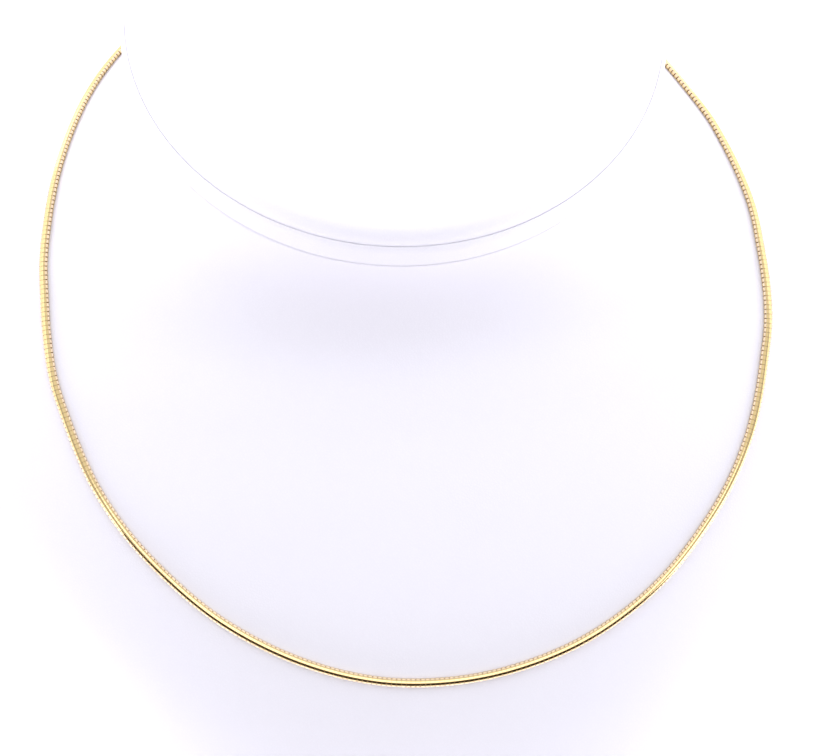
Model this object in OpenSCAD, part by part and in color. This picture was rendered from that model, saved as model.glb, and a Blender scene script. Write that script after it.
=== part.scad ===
/* [Bust] */
// Height of the neck bust at the back edge of its neck panel
bust_height = 203; // [175:1:230]
// Width of the bust across the shoulders
shoulder_width = 182; // [160:1:200]
// Radius of the turned edge under the bust
foot_radius = 3; // [1:0.5:5]

/* [Neck panel] */
// How far the rim at the top of the neck stands proud of the neck
rim_overhang = 1; // [0.6:0.1:3]
// Height of the rolled rim round the panel
rim_height = 6; // [5:0.1:9]
// Radius of the rolled upper edge of the rim
rim_radius = 2; // [1.6:0.1:2.5]
// Radius of the lower edge of the rim
rim_foot_radius = 0.8; // [0.4:0.1:1.2]
// Width of the rim that shows round the panel, seen from above
rim_width = 1.2; // [0.8:0.1:1.6]
// Depth of the recess that the panel lies in
panel_depth = 2.4; // [1.5:0.1:3]
// How far the panel stands up over the rim
panel_rise = 2.7; // [1.5:0.1:4]
// Radius of the soft upper edge of the panel
panel_edge = 2.8; // [1:0.1:2.8]

/* [Chain] */
// Width of the domed plates of the chain
chain_width = 1.5; // [1:0.1:3]
// Thickness of the chain, from its flat underside to the crown of the dome
chain_thickness = 1.05; // [0.7:0.05:2]
// Gap between the underside of the chain and the cover of the bust
chain_gap = 0.25; // [0.2:0.05:0.6]

/* [Clasp] */
// Length of the clasp box
clasp_length = 9; // [6:0.5:14]
// Width of the clasp box
clasp_width = 3; // [2.6:0.1:5]
// Thickness of the clasp box
clasp_thickness = 2.1; // [1.6:0.1:3]
// Radius of the long edges of the clasp box
clasp_radius = 0.6; // [0.2:0.1:0.8]
// Length of each end cap
cap_length = 4; // [3:0.5:6]
// Thickness of the metal round the chain in an end cap
cap_wall = 0.3; // [0.2:0.05:0.5]

/* [Hidden] */

// Gap between two pieces that are assembled face to face
fit_gap = 0.1;
// Gap round the chain in the socket of an end cap, which leaves room for the chain's curve
socket_gap = 0.18;
// Gap between the clasp and each end cap, where the line of the chain turns
clasp_gap = 0.3;
// Gap between the cover of the bust and the clasp or an end cap
nape_clearance = 0.15;
// How far a socket is cut past the face that it opens in
overcut = 1;
// Facets round the bust, and between two rows of the side profile
bust_facets = 90;
rings_per_row = 4;
// Facets of a quarter of a rounded edge
edge_facets = 6;
// Facets of the round neck panel and its rim
round_facets = 120;
// Facets round the chain, and rings along it
chain_facets = 8;
chain_rings = 80;
// Facets of a small rounded corner of the clasp and the end caps
corner_facets = 24;

// Side profile of the bust in millimetres, for the nominal height, from the foot to the top
// of the neck: y and z of the front line, y and z of the back line, breadth as a share of
// the way from the neck (0) to the shoulders (1), squareness of the section (2 is round), and
// the place of its widest line as a share of the way from the front to the back
nominal_height = 203;
profile = [
    [-57.0,   3.0, 34.0,   3.0, 0.340, 2.5, 0.50],
    [-62.5,  27.0, 43.5,  29.5, 0.455, 2.5, 0.50],
    [-63.5,  51.0, 52.5,  60.0, 0.580, 2.5, 0.50],
    [-60.3,  72.0, 59.5,  89.5, 0.730, 2.5, 0.51],
    [-53.8,  89.0, 63.0, 113.0, 0.905, 2.5, 0.48],
    [-45.0, 105.0, 63.5, 133.5, 1.000, 2.5, 0.47],
    [-36.0, 119.6, 62.0, 152.0, 0.875, 2.3, 0.47],
    [-31.0, 129.5, 58.5, 163.0, 0.550, 2.1, 0.46],
    [-31.2, 138.0, 52.0, 166.5, 0.250, 2.0, 0.45],
    [-34.8, 145.0, 45.0, 173.5, 0.040, 2.0, 0.43],
    [-39.7, 150.4, 38.6, 196.7, 0.000, 2.0, 0.50]
];
top_row = len(profile) - 1;
size_ratio = bust_height / nominal_height;

// Lie of the chain from the front to the nape: angle round the neck, and the row of the
// profile that the chain crosses there, on the left side and on the right side
lie = [
    [  0, 3.48, 3.48],
    [ 12, 3.55, 3.55],
    [ 24, 3.78, 3.76],
    [ 35, 4.15, 4.13],
    [ 44, 4.65, 4.65],
    [ 51, 5.21, 5.24],
    [ 58, 5.92, 5.97],
    [ 64, 6.51, 6.55],
    [ 71, 7.05, 7.10],
    [ 79, 7.53, 7.62],
    [ 88, 7.87, 8.03],
    [ 99, 8.09, 8.34],
    [113, 8.18, 8.49],
    [129, 8.16, 8.39],
    [145, 7.97, 8.03],
    [162, 7.51, 7.48],
    [180, 7.27, 7.27]
];
nape = len(lie) - 1;

// Smooth curve through four rows, from the second (u = 0) to the third (u = 1)
function through(a, b, c, d, u) =
    0.5 * (2 * b + (c - a) * u + (2 * a - 5 * b + 4 * c - d) * u ^ 2 + (3 * b - a - 3 * c + d) * u ^ 3);

// Row of the side profile at a level, which is a row number with a fraction
function row(i) = profile[max(0, min(top_row, i))];
function row_at(level) =
    let (i = max(0, min(top_row - 1, floor(level))))
    through(row(i - 1), row(i), row(i + 1), row(i + 2), level - i);

// Section of the bust at a level: front point, back point, depth and half width
function front_at(level) = let (r = row_at(level)) size_ratio * [r[0], r[1]];
function back_at(level) = let (r = row_at(level)) size_ratio * [r[2], r[3]];
function depth_at(level) = norm(back_at(level) - front_at(level));
neck_radius = depth_at(top_row) / 2;
function half_width(level) = neck_radius + (shoulder_width / 2 - neck_radius) * row_at(level)[4];

// Point on the skin of the bust, at an angle from the front towards +X, drawn in by an inset
function skin_point(level, angle, inset = 0) =
    let (
        depth = depth_at(level),
        along = (back_at(level) - front_at(level)) / depth,
        power = row_at(level)[5],
        widest = row_at(level)[6] * depth,
        middle = front_at(level) + widest * along,
        reach_in_depth = cos(angle) > 0 ? widest : depth - widest,
        depth_part = (abs(cos(angle)) / (reach_in_depth - inset)) ^ power,
        width_part = (abs(sin(angle)) / (half_width(level) - inset)) ^ power,
        reach = (depth_part + width_part) ^ (-1 / power)
    )
    [reach * sin(angle), middle[0] - reach * cos(angle) * along[0], middle[1] - reach * cos(angle) * along[1]];

// Unit vector, and the outward normal of the bust's skin
function unit(v) = v / norm(v);
normal_step = 0.01;
function skin_normal(level, angle) =
    unit(cross(
        skin_point(level, angle + normal_step) - skin_point(level, angle - normal_step),
        skin_point(level + normal_step, angle) - skin_point(level - normal_step, angle)
    ));

// Angle and levels of the chain at a station: 0 is the front, and the nape lies at either
// end. Past the front or the nape, the sides change places.
function lie_row(i) =
    i < 0 ? [-lie[-i][0], lie[-i][2], lie[-i][1]]
    : i > nape ? [2 * lie[nape][0] - lie[2 * nape - i][0], lie[2 * nape - i][2], lie[2 * nape - i][1]]
    : lie[i];
function lie_at(station) =
    let (i = min(nape - 1, floor(station)))
    through(lie_row(i - 1), lie_row(i), lie_row(i + 1), lie_row(i + 2), station - i);
function chain_angle(station) = sign(station) * lie_at(abs(station))[0];
function chain_level(station) = lie_at(abs(station))[station < 0 ? 1 : 2];

// Gap under the chain at a station. The clasp and the end caps are thicker than the chain, and
// hold it a little off the bust as it nears the nape.
overhang = max((clasp_thickness - chain_thickness) / 2, cap_wall + socket_gap);
nape_gap = max(chain_gap, overhang + nape_clearance);
lift_start = nape - 4;
lift_end = nape - 1;
function gap_at(station) =
    let (u = max(0, min(1, (abs(station) - lift_start) / (lift_end - lift_start))))
    chain_gap + (nape_gap - chain_gap) * u ^ 2 * (3 - 2 * u);

// Middle of the chain's underside, the skin's normal there, and the direction of the chain
function chain_normal(station) = skin_normal(chain_level(station), chain_angle(station));
function chain_point(station) =
    skin_point(chain_level(station), chain_angle(station)) + gap_at(station) * chain_normal(station);
function chain_tangent(station) =
    unit(chain_point(min(nape, station + normal_step)) - chain_point(max(-nape, station - normal_step)));

// Frame of the chain at a station: across the chain, away from the bust, and along the chain
function chain_frame(station) =
    let (
        along = chain_tangent(station),
        across = unit(cross(chain_normal(station), along)),
        away = cross(along, across)
    )
    [across, away, along];

// Station of the middle of an end cap, where the chain ends, from a length measured at the nape
nape_speed = norm(chain_point(nape) - chain_point(nape - normal_step)) / normal_step;
chain_end = nape - (clasp_length / 2 + clasp_gap + cap_length / 2) / nape_speed;

// Rounded corner in the plane: points of an arc about a centre
function arc(centre, radius, from, to, steps = edge_facets) =
    [for (i = [0:steps]) let (a = from + (to - from) * i / steps) centre + radius * [cos(a), sin(a)]];

// Solid through a list of rings, each with the same number of points, closed at both ends
module solid_through(rings) {
    n = len(rings[0]);
    last = len(rings) - 1;
    sides = [
        for (i = [0:last - 1], j = [0:n - 1])
            let (here = i * n + j, next = i * n + (j + 1) % n)
            each [[here, here + n, next + n], [here, next + n, next]]
    ];
    first_face = [for (j = [0:n - 1]) j];
    last_face = [for (j = [n - 1:-1:0]) last * n + j];
    polyhedron([for (r = rings) each r], concat([first_face, last_face], sides));
}

// Places its children in the plane of the neck panel, with z = 0 at the top of the neck
module on_neck() {
    front = front_at(top_row);
    back = back_at(top_row);
    middle = (front + back) / 2;
    translate([0, middle[0], middle[1]])
        rotate([atan2(back[1] - front[1], back[0] - front[0]), 0, 0])
            children();
}

// Places its children on the chain at a station: x across it, y away from the bust, z along it
module on_chain(station) {
    f = chain_frame(station);
    p = chain_point(station);
    multmatrix([
        [f[0][0], f[1][0], f[2][0], p[0]],
        [f[0][1], f[1][1], f[2][1], p[1]],
        [f[0][2], f[1][2], f[2][2], p[2]],
        [0, 0, 0, 1]
    ])
        children();
}

// Rectangle with rounded corners, its lower side on y = 0
module rounded_plate(width, height, radius) {
    x = width / 2 - radius;
    translate([0, height / 2]) {
        square([width, height - 2 * radius], center = true);
        square([2 * x, height], center = true);
        for (sx = [-x, x], sy = [-1, 1])
            translate([sx, sy * (height / 2 - radius)]) circle(radius, $fn = corner_facets);
    }
}

panel_radius = neck_radius + rim_overhang - rim_width;

// Covered form of the neck, shoulders and chest, in one smooth skin
module bust_body() {
    angles = [for (j = [0:bust_facets - 1]) 360 * j / bust_facets];
    foot = [
        for (i = [0:edge_facets - 1])
            let (a = 90 * i / edge_facets, drop = row(0)[1] * size_ratio * (1 - sin(a)))
            [for (b = angles) skin_point(0, b, foot_radius * (1 - sin(a))) - [0, 0, drop]]
    ];
    skin = [
        for (i = [0:top_row * rings_per_row])
            [for (b = angles) skin_point(i / rings_per_row, b)]
    ];
    color("white") solid_through(concat(foot, skin));
}

// Rolled rim on the top of the neck, with a recess for the panel
module neck_rim() {
    outer = neck_radius + rim_overhang;
    recess = rim_height - panel_depth;
    low = [outer - rim_foot_radius, rim_foot_radius];
    high = [outer - rim_radius, rim_height - rim_radius];
    lip_angle = acos((rim_radius - rim_width) / rim_radius);
    color("white") on_neck() translate([0, 0, fit_gap])
        rotate_extrude($fn = round_facets)
            polygon(concat(
                [[0, recess], [0, 0]],
                arc(low, rim_foot_radius, -90, 0),
                arc(high, rim_radius, 0, lip_angle),
                [[panel_radius, recess]]
            ));
}

// Covered disc with a soft edge, which lies in the recess of the rim
module neck_panel() {
    radius = panel_radius - fit_gap;
    thickness = panel_depth - fit_gap + panel_rise;
    color("white") on_neck() translate([0, 0, fit_gap + rim_height - panel_depth + fit_gap])
        rotate_extrude($fn = round_facets)
            polygon(concat(
                [[0, 0], [radius, 0]],
                arc([radius - panel_edge, thickness - panel_edge], panel_edge, 0, 90),
                [[0, thickness]]
            ));
}

// Run of crimped plates, as one bar of their outer form from end cap to end cap
module chain() {
    half_side = 180 / chain_facets;
    section = [
        for (i = [0:chain_facets - 1])
            let (a = (2 * i + 1) * half_side)
            [
                chain_width / 2 * cos(a) / cos(half_side),
                chain_thickness / 2 * (1 + sin(a) / cos(half_side))
            ]
    ];
    rings = [
        for (i = [0:chain_rings - 1])
            let (
                station = -chain_end + 2 * chain_end * i / (chain_rings - 1),
                f = chain_frame(station),
                p = chain_point(station)
            )
            [for (q = section) p + q[0] * f[0] + q[1] * f[1]]
    ];
    color("gold") solid_through(rings);
}

// Ferrule that takes one end of the chain, at one side of the nape
module end_cap(side) {
    socket_width = chain_width + 2 * socket_gap;
    socket_height = chain_thickness + 2 * socket_gap;
    socket_start = side > 0 ? -cap_length / 2 - overcut : -fit_gap;
    color("gold") on_chain(side * chain_end)
        translate([0, -cap_wall - socket_gap, 0])
            difference() {
                translate([0, 0, -cap_length / 2])
                    linear_extrude(cap_length)
                        rounded_plate(socket_width + 2 * cap_wall, socket_height + 2 * cap_wall, cap_wall);
                translate([-socket_width / 2, cap_wall, socket_start])
                    cube([socket_width, socket_height, cap_length / 2 + fit_gap + overcut]);
            }
}

module end_cap_left() {
    end_cap(-1);
}

module end_cap_right() {
    end_cap(1);
}

// Plain closed clasp box at the nape
module clasp() {
    color("gold") on_chain(nape)
        translate([0, (chain_thickness - clasp_thickness) / 2, -clasp_length / 2])
            linear_extrude(clasp_length) rounded_plate(clasp_width, clasp_thickness, clasp_radius);
}

bust_body();
neck_rim();
neck_panel();
chain();
end_cap_left();
end_cap_right();
clasp();
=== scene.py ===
# %% [markdown]
# # An omega chain on a neck bust
#
# The object is a slim gold omega chain that lies round a white neck bust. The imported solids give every
# size and place. This lesson dresses them: it lays the cover over the bust, threads some five hundred
# domed plates along the chain's line, and sets up soft light and the camera.

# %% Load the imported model
from math import acos, atan2, cos, degrees, floor, hypot, pi, radians, sin, sqrt

import bmesh
import bpy
from mathutils import Matrix, Vector


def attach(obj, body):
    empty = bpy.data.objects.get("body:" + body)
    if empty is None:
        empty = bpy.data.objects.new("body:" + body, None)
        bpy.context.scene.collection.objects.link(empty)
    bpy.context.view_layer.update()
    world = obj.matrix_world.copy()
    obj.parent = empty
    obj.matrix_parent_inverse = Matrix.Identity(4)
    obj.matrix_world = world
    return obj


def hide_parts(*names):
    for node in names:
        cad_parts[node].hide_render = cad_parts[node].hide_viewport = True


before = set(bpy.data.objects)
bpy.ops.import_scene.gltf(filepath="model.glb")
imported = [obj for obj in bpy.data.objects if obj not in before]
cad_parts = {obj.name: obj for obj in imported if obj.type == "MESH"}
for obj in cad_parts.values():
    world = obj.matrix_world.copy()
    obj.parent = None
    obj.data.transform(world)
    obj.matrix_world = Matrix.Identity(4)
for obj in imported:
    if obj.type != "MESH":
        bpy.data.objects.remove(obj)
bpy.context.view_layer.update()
scene = bpy.context.scene
MM = 0.001
print("pieces in the packed model:", sorted(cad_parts))

# %% [markdown]
# ## Camera
#
# A photograph is matched from its camera outwards. A long lens from about half a metre away, looking
# down at thirty degrees, gives the flattened oval of the neck panel and the even pitch of the plates.
# The camera's three axes are worked out from its elevation, its turn to one side and its slight roll,
# so that each can be adjusted by itself.

# %% Camera from elevation, turn and roll
elevation = radians(30.0)
side_turn = radians(-6.333)
roll = radians(1.409)
distance = 550 * MM
lens_mm, sensor_mm = 143.76, 36.0
aim_across, aim_up = -5.252 * MM, 51.71 * MM
chest_point = Vector((0, -56.0, 79.0)) * MM

to_camera = Vector((sin(side_turn) * cos(elevation), -cos(side_turn) * cos(elevation), sin(elevation)))
level_right = Vector((cos(side_turn), sin(side_turn), 0))
level_up = to_camera.cross(level_right)
camera_right = cos(roll) * level_right - sin(roll) * level_up
camera_up = sin(roll) * level_right + cos(roll) * level_up
aim = chest_point + aim_across * level_right + aim_up * level_up

camera_data = bpy.data.cameras.new("camera")
camera_data.lens, camera_data.sensor_width = lens_mm, sensor_mm
camera = bpy.data.objects.new("camera", camera_data)
camera.matrix_world = Matrix.Translation(aim + distance * to_camera) @ Matrix(
    (camera_right, camera_up, to_camera)).transposed().to_4x4()
scene.collection.objects.link(camera)
scene.camera = camera
print("camera stands at", [round(v, 3) for v in camera.matrix_world.translation])

# %% [markdown]
# ## The bust's skin
#
# A display bust is one smooth skin from foot to neck, so it is drawn as a stack of closed sections.
# A short table gives the side profile. Between its rows a smooth curve fills in, and each section is a
# rounded oval between the front line and the back line. The chain later follows the same formula,
# which is why it lies on the cover without sinking in.

# %% Side profile: front y and z, back y and z, breadth share, squareness, place of the widest line
profile = [
    (-57.0, 3.0, 34.0, 3.0, 0.340, 2.5, 0.50),
    (-62.5, 27.0, 43.5, 29.5, 0.455, 2.5, 0.50),
    (-63.5, 51.0, 52.5, 60.0, 0.580, 2.5, 0.50),
    (-60.3, 72.0, 59.5, 89.5, 0.730, 2.5, 0.51),
    (-53.8, 89.0, 63.0, 113.0, 0.905, 2.5, 0.48),
    (-45.0, 105.0, 63.5, 133.5, 1.000, 2.5, 0.47),
    (-36.0, 119.6, 62.0, 152.0, 0.875, 2.3, 0.47),
    (-31.0, 129.5, 58.5, 163.0, 0.550, 2.1, 0.46),
    (-31.2, 138.0, 52.0, 166.5, 0.250, 2.0, 0.45),
    (-34.8, 145.0, 45.0, 173.5, 0.040, 2.0, 0.43),
    (-39.7, 150.4, 38.6, 196.7, 0.000, 2.0, 0.50),
]
top_row = len(profile) - 1
shoulder_half = 91.0
foot_radius = 3.0


def through(a, b, c, d, u):
    """Smooth curve from b to c, with a and d as the neighbours on either side."""
    return 0.5 * (2 * b + (c - a) * u + (2 * a - 5 * b + 4 * c - d) * u ** 2
                  + (3 * b - a - 3 * c + d) * u ** 3)


def row_at(level):
    i = max(0, min(top_row - 1, floor(level)))
    rows = [profile[max(0, min(top_row, k))] for k in (i - 1, i, i + 1, i + 2)]
    return [through(*column, level - i) for column in zip(*rows)]


def depth_of(r):
    return hypot(r[2] - r[0], r[3] - r[1])


neck_radius = depth_of(profile[top_row]) / 2


def skin_point(level, angle, inset=0.0):
    """Point on the cover, at an angle in degrees from the front towards +X."""
    r = row_at(level)
    depth = depth_of(r)
    width = neck_radius + (shoulder_half - neck_radius) * r[4]
    widest = r[6] * depth
    s, c = sin(radians(angle)), cos(radians(angle))
    reach_in_depth = widest if c > 0 else depth - widest
    reach = (abs(c / (reach_in_depth - inset)) ** r[5] + abs(s / (width - inset)) ** r[5]) ** (-1 / r[5])
    along_y, along_z = (r[2] - r[0]) / depth, (r[3] - r[1]) / depth
    return Vector((reach * s, r[0] + (widest - reach * c) * along_y, r[1] + (widest - reach * c) * along_z))


def skin_normal(level, angle, step=0.01):
    round_it = skin_point(level, angle + step) - skin_point(level, angle - step)
    up_it = skin_point(level + step, angle) - skin_point(level - step, angle)
    return round_it.cross(up_it).normalized()


print("neck radius in mm:", round(neck_radius, 2))

# %% Helpers that turn a bmesh into a finished piece
def finish_piece(name, bm, material, slot, *nodes):
    """Object at the origin from a bmesh in millimetres, riding on the part's one body."""
    bmesh.ops.scale(bm, vec=(MM, MM, MM), verts=bm.verts)
    mesh = bpy.data.meshes.new(name)
    bm.to_mesh(mesh)
    bm.free()
    for polygon in mesh.polygons:
        polygon.use_smooth = True
    piece = bpy.data.objects.new(name, mesh)
    scene.collection.objects.link(piece)
    mesh.materials.append(material)
    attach(piece, "root")
    if nodes:
        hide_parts(*nodes)
    print(name, "has", len(mesh.polygons), "faces")
    return piece


def ring_of(bm, points):
    """A closed ring of edges whose corners are moved to the given points."""
    made = bmesh.ops.create_circle(bm, cap_ends=False, radius=1.0, segments=len(points))
    for vert, point in zip(made["verts"], points):
        vert.co = point
    return list({edge for vert in made["verts"] for edge in vert.link_edges})


def loft(bm, rings):
    """Bridges ring after ring, and closes the first and the last with a face."""
    edges = [ring_of(bm, points) for points in rings]
    for low, high in zip(edges, edges[1:]):
        bmesh.ops.bridge_loops(bm, edges=low + high)
    bmesh.ops.holes_fill(bm, edges=edges[0], sides=0)
    bmesh.ops.holes_fill(bm, edges=edges[-1], sides=0)
    bmesh.ops.recalc_face_normals(bm, faces=bm.faces)


# %% [markdown]
# ## Leatherette
#
# The cover is white leatherette with a fine pebble grain. Cells that a noise bends a little out of line
# make the pebbles, and a second noise lets their height vary, as on an embossed sheet. The group only
# gives a height and a mask of the valleys between the pebbles. The shader stays in the material, and
# one cover serves the body, the rim and the panel, as one sheet would.

# %% Node helpers and the grain group
def put(tree, kind, x, y, **values):
    node = tree.nodes.new(kind)
    node.location = (x, y)
    for key, value in values.items():
        if hasattr(node, key):
            setattr(node, key, value)
        else:
            node.inputs[key.replace("_", " ")].default_value = value
    return node


def new_group(name, inputs, outputs):
    """A shader node group with named sockets. Returns the group, its input and its output node."""
    group = bpy.data.node_groups.new(name, "ShaderNodeTree")
    for label, kind, value in inputs:
        socket = group.interface.new_socket(label, in_out="INPUT", socket_type=kind)
        if value is not None:
            socket.default_value = value
    for label, kind in outputs:
        group.interface.new_socket(label, in_out="OUTPUT", socket_type=kind)
    return group, put(group, "NodeGroupInput", -900, 0), put(group, "NodeGroupOutput", 900, 0)


def pebble_grain():
    group, start, end = new_group(
        "pebble_grain",
        [("Cells per metre", "NodeSocketFloat", 2200.0), ("Variation", "NodeSocketFloat", 0.4)],
        [("Height", "NodeSocketFloat"), ("Valley", "NodeSocketFloat")])
    link = group.links.new
    place = put(group, "ShaderNodeTexCoord", -900, 300)
    warp = put(group, "ShaderNodeTexNoise", -700, -200, Scale=300.0, Detail=2.0)
    link(place.outputs["Object"], warp.inputs["Vector"])
    shift = put(group, "ShaderNodeVectorMath", -500, 100, operation="MULTIPLY_ADD")
    shift.inputs[1].default_value = (0.0006,) * 3
    link(warp.outputs["Color"], shift.inputs[0])
    link(place.outputs["Object"], shift.inputs[2])
    cells = put(group, "ShaderNodeTexVoronoi", -300, 200, feature="DISTANCE_TO_EDGE")
    link(shift.outputs[0], cells.inputs["Vector"])
    link(start.outputs["Cells per metre"], cells.inputs["Scale"])
    pillow = put(group, "ShaderNodeMapRange", -50, 200, interpolation_type="SMOOTHSTEP")
    pillow.inputs["From Max"].default_value = 0.28
    link(cells.outputs["Distance"], pillow.inputs["Value"])
    slow = put(group, "ShaderNodeTexNoise", -300, -200, Scale=420.0, Detail=3.0)
    link(place.outputs["Object"], slow.inputs["Vector"])
    uneven = put(group, "ShaderNodeMath", 100, -150, operation="MULTIPLY")
    link(slow.outputs["Fac"], uneven.inputs[0])
    link(start.outputs["Variation"], uneven.inputs[1])
    height = put(group, "ShaderNodeMath", 350, 100, operation="ADD")
    link(pillow.outputs["Result"], height.inputs[0])
    link(uneven.outputs[0], height.inputs[1])
    valley = put(group, "ShaderNodeMath", 350, -100, operation="SUBTRACT")
    valley.inputs[0].default_value = 1.0
    link(pillow.outputs["Result"], valley.inputs[1])
    link(height.outputs[0], end.inputs["Height"])
    link(valley.outputs[0], end.inputs["Valley"])
    return group


grain = pebble_grain()
print("group made:", grain.name)


# %% Leatherette material
def leatherette(name, depth_mm):
    material = bpy.data.materials.new(name)
    material.use_nodes = True
    tree = material.node_tree
    link = tree.links.new
    shader = tree.nodes["Principled BSDF"]
    shader.inputs["Sheen Weight"].default_value = 0.08
    shader.inputs["Specular IOR Level"].default_value = 0.35
    pebbles = put(tree, "ShaderNodeGroup", -700, 0)
    pebbles.node_tree = grain
    tint = put(tree, "ShaderNodeMix", -350, 200, data_type="RGBA")
    tint.inputs[6].default_value = (0.902, 0.892, 0.974, 1)
    tint.inputs[7].default_value = (0.889, 0.879, 0.962, 1)
    link(pebbles.outputs["Valley"], tint.inputs[0])
    link(tint.outputs[2], shader.inputs["Base Color"])
    gloss = put(tree, "ShaderNodeMapRange", -350, -50)
    gloss.inputs["To Min"].default_value = 0.48
    gloss.inputs["To Max"].default_value = 0.62
    link(pebbles.outputs["Valley"], gloss.inputs["Value"])
    link(gloss.outputs["Result"], shader.inputs["Roughness"])
    relief = put(tree, "ShaderNodeBump", -350, -300, Distance=depth_mm * MM, Strength=0.3)
    link(pebbles.outputs["Height"], relief.inputs["Height"])
    link(relief.outputs["Normal"], shader.inputs["Normal"])
    return material


cover = leatherette("white_leatherette", 0.03)
print("cover made:", cover.name)

# %% [markdown]
# ## Body of the bust
#
# The body is lofted through rings of the section formula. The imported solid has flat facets, so the
# same skin is drawn here with many more rings, and shades as one soft surface. The foot turns in with
# a small radius, as the cover does where it is pulled round the base board.

# %% Body
body_segments = 144
rings_per_row = 8
foot_steps = 6


def body_rings():
    angles = [360 * j / body_segments for j in range(body_segments)]
    for i in range(foot_steps):
        a = pi / 2 * i / foot_steps
        drop = Vector((0, 0, profile[0][1] * (1 - sin(a))))
        yield [skin_point(0, b, foot_radius * (1 - sin(a))) - drop for b in angles]
    for i in range(top_row * rings_per_row + 1):
        yield [skin_point(i / rings_per_row, b) for b in angles]


bm = bmesh.new()
loft(bm, list(body_rings()))
finish_piece("bust_cover", bm, cover, "leatherette", "bust_body")

# %% [markdown]
# ## Rim and panel of the neck
#
# The slanted top of the neck carries a rolled rim and, set into it, a covered disc. Both are round, so
# each is a half section spun about the neck's axis. The rim is drawn half a millimetre slimmer than the
# solid, which opens the crease at its foot. The disc's edge is rolled over, and the disc sits a hair
# towards the back, so that the line round it is widest in front.

# %% Spun pieces on the neck
front_top = Vector((0, profile[top_row][0], profile[top_row][1]))
back_top = Vector((0, profile[top_row][2], profile[top_row][3]))
neck_tilt = atan2(back_top.z - front_top.z, back_top.y - front_top.y)
on_neck = Matrix.Translation((front_top + back_top) / 2) @ Matrix.Rotation(neck_tilt, 4, "X")

fit_gap, hair_gap = 0.1, 0.05
disc_shift = 0.035
rim_outer, rim_height, rim_radius, rim_foot_radius, rim_width = neck_radius + 0.5, 6.0, 2.0, 1.4, 0.7
panel_radius, panel_depth, panel_rise, panel_edge = rim_outer - rim_width, 2.4, 2.7, 2.8
spin_steps = 160


def arc(centre, radius, first, last, steps=10):
    turns = [radians(first + (last - first) * i / steps) for i in range(steps + 1)]
    return [(centre[0] + radius * cos(a), centre[1] + radius * sin(a)) for a in turns]


def spun(outline, lift):
    """Spins a half section, given as (radius, height), about the neck's axis."""
    bm = bmesh.new()
    verts = [bm.verts.new((r, 0, h + lift)) for r, h in outline]
    edges = [bm.edges.new(pair) for pair in zip(verts, verts[1:])]
    bmesh.ops.spin(bm, geom=verts + edges, cent=(0, 0, 0), axis=(0, 0, 1), angle=2 * pi,
                   steps=spin_steps, use_merge=True)
    bmesh.ops.remove_doubles(bm, verts=bm.verts, dist=1e-4)
    bmesh.ops.recalc_face_normals(bm, faces=bm.faces)
    bmesh.ops.transform(bm, matrix=on_neck, verts=bm.verts)
    return bm


recess = rim_height - panel_depth
lip_angle = degrees(acos((rim_radius - rim_width) / rim_radius))
rim_line = ([(0, recess), (0, 0)]
            + arc((rim_outer - rim_foot_radius, rim_foot_radius), rim_foot_radius, -90, 0)
            + arc((rim_outer - rim_radius, rim_height - rim_radius), rim_radius, 0, lip_angle)
            + [(panel_radius, recess), (0, recess)])
finish_piece("neck_rim_cover", spun(rim_line, fit_gap), cover, "leatherette", "neck_rim")

disc_radius, disc_height = panel_radius - hair_gap, panel_depth - fit_gap + panel_rise
disc_flat = disc_radius - panel_edge
disc_line = ([(0, 0), (disc_radius, 0)]
             + arc((disc_flat, disc_height - panel_edge), panel_edge, 0, 90, 16)
             + [(disc_flat * f, disc_height) for f in (0.75, 0.5, 0.25)] + [(0, disc_height)])
bm = spun(disc_line, recess + 2 * fit_gap)
bmesh.ops.translate(bm, vec=disc_shift * (back_top - front_top).normalized(), verts=bm.verts)
finish_piece("neck_panel_cover", bm, cover, "leatherette", "neck_panel")

# %% [markdown]
# ## Line of the chain
#
# The chain lies on the cover from the front of the chest, over the shoulders and round to the nape.
# A table gives the row of the profile that it crosses at each angle, on either side. The line is then
# measured, so that the plates can be set at an even pitch along it. The plates lie a little nearer to
# the cover than the solid's underside, and are a little lower than the solid, as the photo shows them.

# %% Lie of the chain
lie = [
    (0, 3.48, 3.48), (12, 3.55, 3.55), (24, 3.78, 3.76), (35, 4.15, 4.13), (44, 4.65, 4.65),
    (51, 5.21, 5.24), (58, 5.92, 5.97), (64, 6.51, 6.55), (71, 7.05, 7.10), (79, 7.53, 7.62),
    (88, 7.87, 8.03), (99, 8.09, 8.34), (113, 8.18, 8.49), (129, 8.16, 8.39), (145, 7.97, 8.03),
    (162, 7.51, 7.48), (180, 7.27, 7.27),
]
nape = len(lie) - 1
chain_width, chain_thickness, plate_height = 1.5, 1.05, 0.85
clasp_length, clasp_width, clasp_thickness = 9.0, 3.0, 2.1
cap_length, cap_wall = 4.0, 0.3
chain_gap, clasp_gap, socket_gap, nape_clearance = 0.1, 0.3, 0.18, 0.15
rise_start, rise_rows = nape - 4, 3
nape_gap = max((clasp_thickness - chain_thickness) / 2, cap_wall + socket_gap) + nape_clearance


def gap_at(station):
    """Gap under the chain. The thicker clasp holds the chain a little off the bust near the nape."""
    u = max(0.0, min(1.0, (abs(station) - rise_start) / rise_rows))
    return chain_gap + (nape_gap - chain_gap) * u ** 2 * (3 - 2 * u)


def lie_row(i):
    """A row of the table. Past the front or the nape, the sides change places."""
    if i < 0:
        angle, left, right = lie[-i]
        return (-angle, right, left)
    if i > nape:
        angle, left, right = lie[2 * nape - i]
        return (2 * lie[nape][0] - angle, right, left)
    return lie[i]


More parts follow.
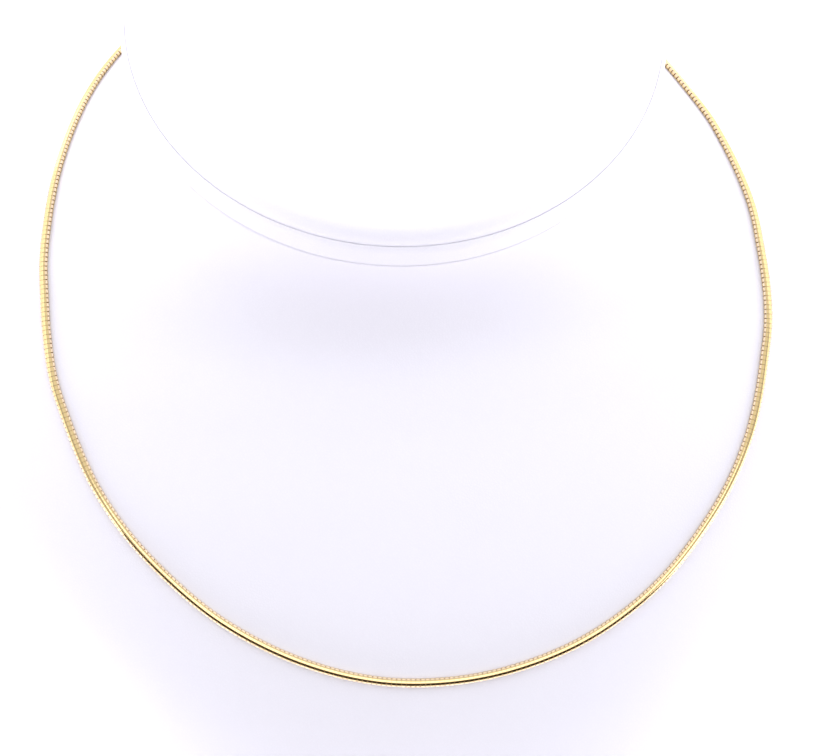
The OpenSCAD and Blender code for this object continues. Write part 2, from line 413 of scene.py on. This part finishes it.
def chain_point(station):
    """Point of the chain's underside and the cover's normal. Station 0 is the front."""
    side = -1 if station < 0 else 1
    i = min(nape - 1, floor(abs(station)))
    rows = [lie_row(k) for k in (i - 1, i, i + 1, i + 2)]
    angle, left, right = [through(*column, abs(station) - i) for column in zip(*rows)]
    level = left if side < 0 else right
    away = skin_normal(level, side * angle)
    return skin_point(level, side * angle) + gap_at(station) * away, away


samples = 1400
stations = [-nape + 2 * nape * i / samples for i in range(samples + 1)]
line = [chain_point(s) for s in stations]
run = [0.0]
for (p, _), (q, _) in zip(line, line[1:]):
    run.append(run[-1] + (q - p).length)
loop_length = run[-1]
print("loop length in mm:", round(loop_length, 1))


def frame_at(length):
    """Place and axes of the chain at a length along it: across, away from the cover, along."""
    length = max(0.0, min(loop_length, length))
    low, high = 0, samples
    while high - low > 1:
        middle = (low + high) // 2
        low, high = (middle, high) if run[middle] <= length else (low, middle)
    share = (length - run[low]) / (run[high] - run[low])
    point = line[low][0].lerp(line[high][0], share)
    away = line[low][1].lerp(line[high][1], share)
    along = (line[min(samples, high + 1)][0] - line[max(0, low - 1)][0]).normalized()
    across = away.cross(along).normalized()
    away = along.cross(across)
    return Matrix.Translation(point) @ Matrix((across, away, along)).transposed().to_4x4()


# %% [markdown]
# ## Gold
#
# Polished yellow gold takes nearly all of its look from what it mirrors. The colour is a pale yellow,
# the roughness low, and faint rolling marks keep it from looking like plastic. The crimped edges are
# paler and duller. The plate ends in the seams and the core are painted a dark brown gold, as painted
# shade for the shade that falls in the seams between the plates.

# %% Gold material
def polish_marks():
    group, start, end = new_group(
        "polish_marks", [("Marks per metre", "NodeSocketFloat", 4000.0)],
        [("Height", "NodeSocketFloat"), ("Wear", "NodeSocketFloat")])
    link = group.links.new
    place = put(group, "ShaderNodeTexCoord", -700, 200)
    marks = put(group, "ShaderNodeTexNoise", -300, 200, Detail=3.0)
    link(place.outputs["Object"], marks.inputs["Vector"])
    link(start.outputs["Marks per metre"], marks.inputs["Scale"])
    wear = put(group, "ShaderNodeTexNoise", -300, -100, Scale=160.0, Detail=2.0)
    link(place.outputs["Object"], wear.inputs["Vector"])
    link(marks.outputs["Fac"], end.inputs["Height"])
    link(wear.outputs["Fac"], end.inputs["Wear"])
    return group


marks = polish_marks()


def gold_material(name, colour, worn, rough_low, rough_high):
    material = bpy.data.materials.new(name)
    material.use_nodes = True
    tree = material.node_tree
    link = tree.links.new
    shader = tree.nodes["Principled BSDF"]
    shader.inputs["Metallic"].default_value = 1.0
    group = put(tree, "ShaderNodeGroup", -700, 0)
    group.node_tree = marks
    tone = put(tree, "ShaderNodeMix", -350, 200, data_type="RGBA")
    tone.inputs[6].default_value = (*colour, 1)
    tone.inputs[7].default_value = (*worn, 1)
    link(group.outputs["Wear"], tone.inputs[0])
    link(tone.outputs[2], shader.inputs["Base Color"])
    rough = put(tree, "ShaderNodeMapRange", -350, -50)
    rough.inputs["To Min"].default_value = rough_low
    rough.inputs["To Max"].default_value = rough_high
    link(group.outputs["Wear"], rough.inputs["Value"])
    link(rough.outputs["Result"], shader.inputs["Roughness"])
    relief = put(tree, "ShaderNodeBump", -350, -300, Distance=0.002 * MM, Strength=0.5)
    link(group.outputs["Height"], relief.inputs["Height"])
    link(relief.outputs["Normal"], shader.inputs["Normal"])
    return material


gold = gold_material("polished_gold", (0.80, 0.62, 0.32), (0.76, 0.58, 0.29), 0.03, 0.08)
crimped_gold = gold_material("crimped_gold", (0.95, 0.78, 0.56), (0.90, 0.72, 0.50), 0.36, 0.5)
# a dark brown gold: painted shade for the seams between the plates and for the core seen through them
seam_shade_gold = gold_material("seam_shade_gold", (0.50, 0.30, 0.14), (0.42, 0.24, 0.11), 0.4, 0.55)
print("golds:", gold.name, crimped_gold.name, seam_shade_gold.name)

# %% [markdown]
# ## Plates
#
# Each plate is a strip of gold folded round the core, with a polished dome between two crimped edges.
# One plate is a closed section drawn through four rings. Its ends are eased, and the crimped edges
# are shorter than the dome. The row then shows a hair-thin seam across the dome and a fine notch on
# either edge. The plate ends and the core behind the notches carry the dark seam gold, painted shade
# that makes the brown ticks along the chain.

# %% One plate
pitch_mm = 0.819
chain_start = clasp_length / 2 + clasp_gap + cap_length / 2
plate_count = round((loop_length - 2 * chain_start) / pitch_mm)
pitch = (loop_length - 2 * chain_start) / plate_count
seam = 0.03
notch_depth = 0.07
crown_rounding, edge_rounding = 0.012, 0.03
crown_half, crown_radius, crown_steps = 0.52, 1.0, 6
flange_drop, step_width, step_drop = 0.1, 0.05, 0.025
edge_ease_width, edge_ease_height = 0.04, 0.06
underside_ease, flank_foot = 0.15, 0.2


def plate_section():
    """Domed crown between two sloping flanges, and a flat underside, in the plane across the chain."""
    half = chain_width / 2
    shoulder = plate_height - crown_radius + sqrt(crown_radius ** 2 - crown_half ** 2)
    flange = shoulder - flange_drop
    right = [(half - underside_ease, 0.0), (half, flank_foot)]
    right += [(half, flange - edge_ease_height), (half - edge_ease_width, flange)]
    right += [(crown_half + step_width, shoulder - step_drop)]
    for i in range(crown_steps):
        x = crown_half * (1 - i / crown_steps)
        right.append((x, plate_height - crown_radius + sqrt(crown_radius ** 2 - x ** 2)))
    return right + [(0.0, plate_height)] + [(-x, y) for x, y in reversed(right)]


def one_plate():
    bm = bmesh.new()
    section = plate_section()
    middle = Vector((0, plate_height / 2))
    half_length = (pitch - seam) / 2
    rings = []
    for end, inward in ((-1, 1), (-1, 0), (1, 0), (1, 1)):
        ring = []
        for x, y in section:
            at_edge = 1.0 if abs(x) > crown_half + step_width / 2 else 0.0
            rounding = crown_rounding + (edge_rounding - crown_rounding) * at_edge
            flat = Vector((x, y)) - inward * rounding * (Vector((x, y)) - middle).normalized()
            reach = half_length - notch_depth * at_edge - (1 - inward) * rounding
            ring.append((flat.x, flat.y, end * reach))
        rings.append(ring)
    loft(bm, rings)
    bm.normal_update()
    # an edge that runs along the chain shades smoothly, and one that runs round the section stays crisp
    for edge in bm.edges:
        a, b = (vert.co for vert in edge.verts)
        edge.smooth = hypot(a.x - b.x, a.y - b.y) < abs(a.z - b.z)
    for face in bm.faces:
        is_end = len(face.verts) > 4
        is_flange = abs(face.calc_center_median().x) > crown_half and face.normal.y > 0.5
        # the plate ends take the dark seam gold, painted shade for the gaps between the plates
        face.material_index = 1 if is_end else 2 if is_flange else 0
    mesh = bpy.data.meshes.new("plate")
    bm.to_mesh(mesh)
    bm.free()
    return mesh


# %% Row of plates along the chain
plate = one_plate()
bm = bmesh.new()
for i in range(plate_count):
    first = len(bm.verts)
    bm.from_mesh(plate)
    bm.verts.ensure_lookup_table()
    bmesh.ops.transform(bm, matrix=frame_at(chain_start + (i + 0.5) * pitch), verts=bm.verts[first:])
plates = finish_piece("chain_plates", bm, gold, "gold", "chain")
plates.data.materials.append(seam_shade_gold)
plates.data.materials.append(crimped_gold)
print("plates:", plate_count, "at a pitch of", round(pitch, 3), "mm")

# %% Core under the plates
core_half_width, core_half_height, core_level = 0.67, 0.18, 0.36
core_sides, core_steps = 8, 240
core_turns = [2 * pi * j / core_sides for j in range(core_sides)]
core_section = [(core_half_width * cos(a), core_level + core_half_height * sin(a)) for a in core_turns]
bm = bmesh.new()
core_rings = []
for i in range(core_steps + 1):
    place = frame_at(chain_start + (loop_length - 2 * chain_start) * i / core_steps)
    core_rings.append([place @ Vector((x, y, 0)) for x, y in core_section])
loft(bm, core_rings)
# the core wears the dark seam gold, painted shade where it shows between the plates
finish_piece("chain_core", bm, seam_shade_gold, "gold")

# %% [markdown]
# ## End caps and clasp
#
# Behind the neck the chain ends in two ferrules and a closed box clasp. The clasp is a plain block with
# rounded edges. Each ferrule is one skin that turns in at its open end and lines the socket, where the
# first plates lie with a little room all round.

# %% End caps and clasp
def rounded_block(size, radius, place):
    bm = bmesh.new()
    bmesh.ops.create_cube(bm, size=1.0)
    bmesh.ops.scale(bm, vec=size, verts=bm.verts)
    bmesh.ops.bevel(bm, geom=bm.edges[:], offset=radius, segments=4, profile=0.5, affect="EDGES",
                    material=-1)
    bmesh.ops.recalc_face_normals(bm, faces=bm.faces)
    bmesh.ops.transform(bm, matrix=place, verts=bm.verts)
    return bm


clasp_round = 0.5
closed_round, closed_steps, lip_round, lip_steps, least_round = 0.3, 4, 0.1, 3, 0.05
mouth_ease = 0.02
crisp_angle = radians(40)


def rounded_section(width, height, radius, z, corner_steps=4):
    """Points of a rounded rectangle about the axis, at a place along it."""
    points = []
    for corner, (sx, sy) in enumerate(((1, 1), (-1, 1), (-1, -1), (1, -1))):
        for k in range(corner_steps + 1):
            a = radians(90 * (corner + k / corner_steps))
            points.append((sx * (width / 2 - radius) + radius * cos(a),
                           sy * (height / 2 - radius) + radius * sin(a), z))
    return points


def ferrule(open_end):
    """A cap with a socket for the chain, open towards +z or -z of the chain's own axes."""
    socket_width, socket_height = chain_width + 2 * socket_gap, chain_thickness + 2 * socket_gap
    width, height = socket_width + 2 * cap_wall, socket_height + 2 * cap_wall
    skin = []
    for k in range(closed_steps + 1):
        a = radians(90 * k / closed_steps)
        inset = closed_round * (1 - sin(a))
        skin.append((width - 2 * inset, height - 2 * inset, closed_round - inset + least_round,
                     -cap_length / 2 + closed_round * (1 - cos(a))))
    for k in range(lip_steps + 1):
        a = radians(90 * k / lip_steps)
        inset = lip_round * (1 - cos(a))
        skin.append((width - 2 * inset, height - 2 * inset, closed_round,
                     cap_length / 2 - lip_round * (1 - sin(a))))
    skin.append((socket_width, socket_height, lip_round, cap_length / 2 - mouth_ease))
    skin.append((socket_width, socket_height, lip_round, -socket_gap))
    bm = bmesh.new()
    loft(bm, [rounded_section(w, h, r, open_end * z) for w, h, r, z in skin])
    for edge in bm.edges:
        edge.smooth = edge.calc_face_angle(0) < crisp_angle
    return bm


clasp_size = (clasp_width, clasp_thickness, clasp_length)
raise_to_middle = Matrix.Translation((0, chain_thickness / 2, 0))
for side, length, open_end in (("right", loop_length - chain_start, -1), ("left", chain_start, 1)):
    bm = ferrule(open_end)
    bmesh.ops.transform(bm, matrix=frame_at(length) @ raise_to_middle, verts=bm.verts)
    finish_piece("end_cap_" + side + "_gold", bm, gold, "gold", "end_cap_" + side)
bm = rounded_block(clasp_size, clasp_round, frame_at(0.0) @ raise_to_middle)
finish_piece("clasp_gold", bm, gold, "gold", "clasp")

# %% [markdown]
# ## Floor, cards and light
#
# The picture is bright and almost shadowless. White paper lies underneath, and a lit sheet in front of
# the bust throws light up under the rim. Soft boxes stand in front, at both sides and behind, with a
# weak one above. The side boxes stand back, where the side stretches of the chain mirror them. A dark
# card lies low in front, below the edge of the picture. The dome mirrors it as the dark line along the
# front of the chain, and the card reaches further to the left, as the line does.

# %% Stage
def card(name, low_edge, high_edge, material):
    """A thin card between two edges, each a list of places in millimetres."""
    bm = bmesh.new()
    rows = [[bm.verts.new(Vector(place) * MM) for place in edge] for edge in (low_edge, high_edge)]
    for i in range(len(low_edge) - 1):
        bm.faces.new((rows[0][i], rows[0][i + 1], rows[1][i + 1], rows[1][i]))
    mesh = bpy.data.meshes.new(name)
    bm.to_mesh(mesh)
    bm.free()
    mesh.materials.append(material)
    piece = bpy.data.objects.new(name, mesh)
    scene.collection.objects.link(piece)


def plain(name, colour, glow=0.0):
    """A matt material that may give a little light of its own."""
    material = bpy.data.materials.new(name)
    material.use_nodes = True
    shader = material.node_tree.nodes["Principled BSDF"]
    shader.inputs["Base Color"].default_value = (*colour, 1)
    shader.inputs["Roughness"].default_value = 0.9
    shader.inputs["Emission Color"].default_value = (0.97, 0.95, 1.0, 1)
    shader.inputs["Emission Strength"].default_value = glow
    return material


paper = plain("white_paper", (0.95, 0.95, 0.96), 0.5)
lit_paper = plain("lit_paper", (0.95, 0.95, 0.96), 1.95)
dark = plain("dark_card", (0.02, 0.009, 0.004))
far, sheet_end = 2500, -40
card("floor", [(-far, -far, -1), (far, -far, -1)], [(-far, far, -1), (far, far, -1)], paper)
card("lit_sheet", [(-far, -far, -0.5), (far, -far, -0.5)],
     [(-far, sheet_end, -0.5), (far, sheet_end, -0.5)], lit_paper)
card("dark_card", [(-240, -105, 1), (-140, -120, 1), (100, -120, 1), (190, -112, 1)],
     [(-600, -580, 180), (-420, -700, 180), (230, -700, 180), (440, -620, 20)], dark)
print("stage pieces: floor, lit sheet and dark card")

# %% World and soft boxes
world = bpy.data.worlds.new("studio")
scene.world = world
world.use_nodes = True
world.node_tree.nodes["Background"].inputs["Color"].default_value = (0.97, 0.96, 1.0, 1)
world.node_tree.nodes["Background"].inputs["Strength"].default_value = 0.74


def soft_light(name, place, aim_at, size_mm, radiance, colour=(1, 1, 1)):
    """A square soft box of a given brightness, as a mirror would see it."""
    side = size_mm * MM
    data = bpy.data.lights.new(name, "AREA")
    data.shape, data.size = "SQUARE", side
    data.energy, data.color = radiance * pi * side * side, colour
    lamp = bpy.data.objects.new(name, data)
    facing = (Vector(place) - Vector(aim_at)).to_track_quat("Z", "Y").to_matrix().to_4x4()
    lamp.matrix_world = Matrix.Translation(Vector(place) * MM) @ facing
    scene.collection.objects.link(lamp)


middle = (0, 0, 120)
soft_light("left_box", (-760, 200, 520), middle, 1250, 0.9, (1.0, 0.975, 0.985))
soft_light("right_box", (760, 200, 520), middle, 1250, 0.9)
soft_light("back_box", (0, 950, 500), middle, 1900, 0.85)
soft_light("roof_box", (0, -300, 950), middle, 1500, 0.3)
soft_light("front_box", (0, -950, 420), middle, 850, 1.42)
scene.view_settings.view_transform = "Standard"
print("soft boxes:", sorted(light.name for light in bpy.data.lights))
